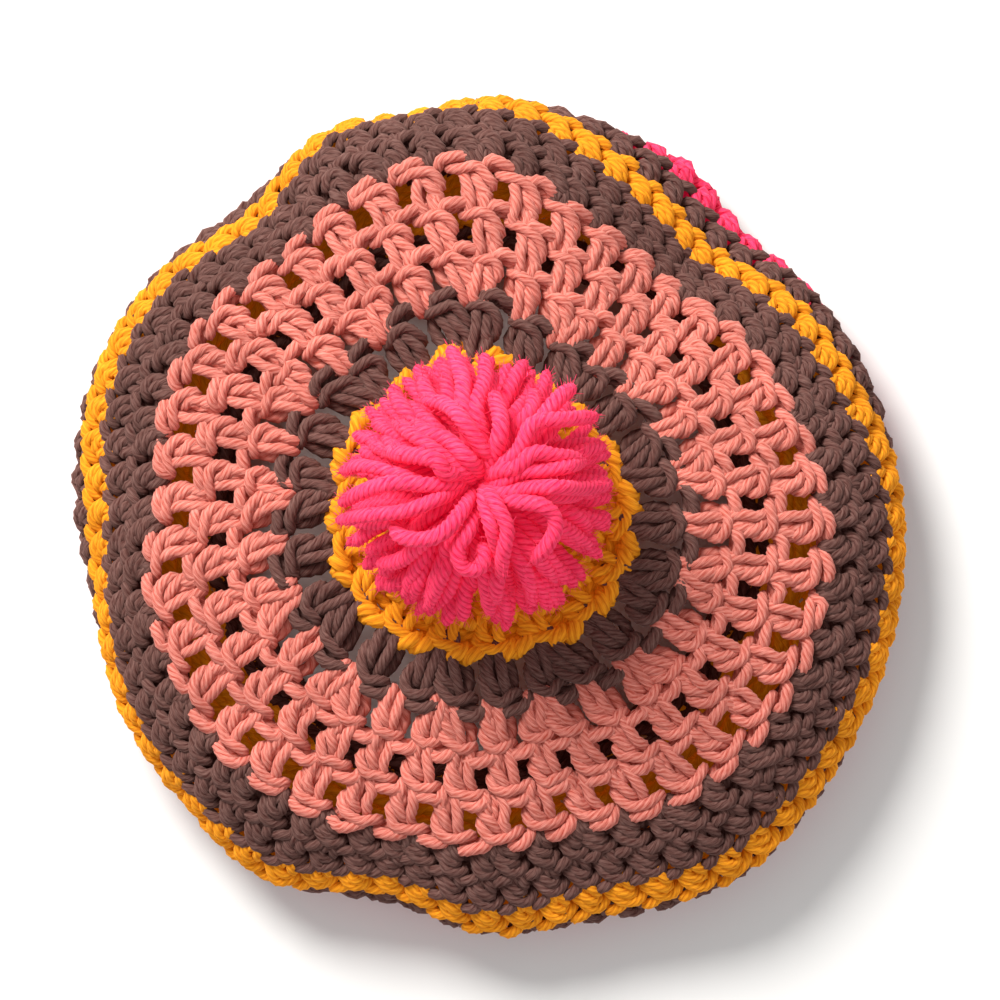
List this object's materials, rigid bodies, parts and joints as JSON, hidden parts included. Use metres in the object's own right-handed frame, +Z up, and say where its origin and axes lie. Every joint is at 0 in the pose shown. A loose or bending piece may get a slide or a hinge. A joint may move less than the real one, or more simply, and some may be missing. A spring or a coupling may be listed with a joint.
{
  "type": "crocheted tam o' shanter with pompom",
  "caption": "Crocheted tam o' shanter: a wide round crown worked in coloured rounds with open stitches, turned in to a headband and topped with a yarn pompom.",
  "frame": {"origin": "middle of the overall box on the surface that the hat rests on", "axes": "+Z up out of the crown, +X to the right and +Y to the top of the picture, which looks down on the hat"},
  "size_m": [0.2682, 0.2709, 0.1157],
  "materials": {
    "gold_yarn": "matt plied yarn",
    "brown_yarn": "matt plied yarn",
    "salmon_yarn": "matt plied yarn",
    "bright_pink_yarn": "matt plied yarn"
  },
  "bodies": {
    "root": {"pompom": "bright_pink_yarn", "crown_centre": "gold_yarn", "inner_brown_round": "brown_yarn", "pink_round_1": "salmon_yarn", "pink_round_2": "salmon_yarn", "pink_round_3": "salmon_yarn", "outer_brown_round_1": "brown_yarn", "outer_brown_round_2": "brown_yarn", "gold_edge_round": "gold_yarn", "under_brown_round": "brown_yarn", "under_bright_round": "bright_pink_yarn", "under_dark_round": "brown_yarn", "under_gold_rounds": "gold_yarn", "headband": "brown_yarn"}
  },
  "joints": []
}
